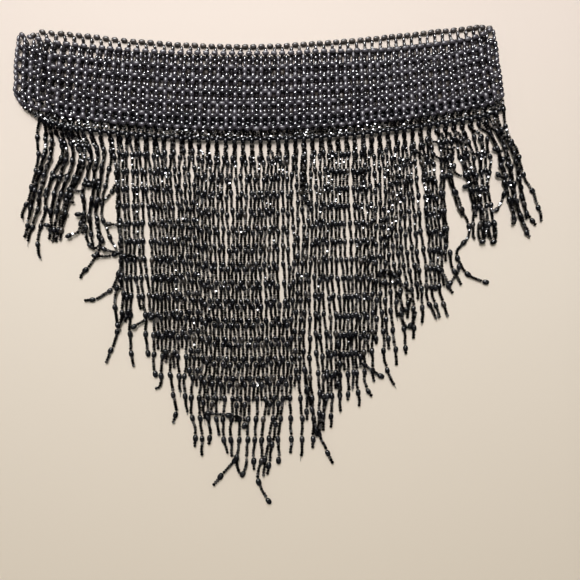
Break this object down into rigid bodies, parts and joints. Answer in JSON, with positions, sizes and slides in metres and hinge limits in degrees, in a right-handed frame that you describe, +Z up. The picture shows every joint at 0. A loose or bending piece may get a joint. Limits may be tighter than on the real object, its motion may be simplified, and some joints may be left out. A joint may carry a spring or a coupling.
{
  "type": "beaded fringe hip belt",
  "caption": "Closed hoop of black beaded net, laid flat in two layers, with a deep V of long beaded fringe hanging from its lower edge.",
  "frame": {"origin": "on the surface that the belt lies on, under the middle of the band", "axes": "+X along the belt, +Y towards its top edge, +Z up from the surface"},
  "size_m": [0.3833, 0.3458, 0.0097],
  "materials": {
    "back_net": "opaque black glass beads, glossy",
    "front_net": "opaque black glass beads, glossy",
    "back_fringe": "opaque black glass beads with brown glints, glossy",
    "front_fringe": "opaque black glass beads with brown glints, glossy"
  },
  "bodies": {
    "root": {"band_back": "back_net", "band_front": "front_net", "fringe_back": "back_fringe", "fringe_front": "front_fringe"}
  },
  "joints": []
}
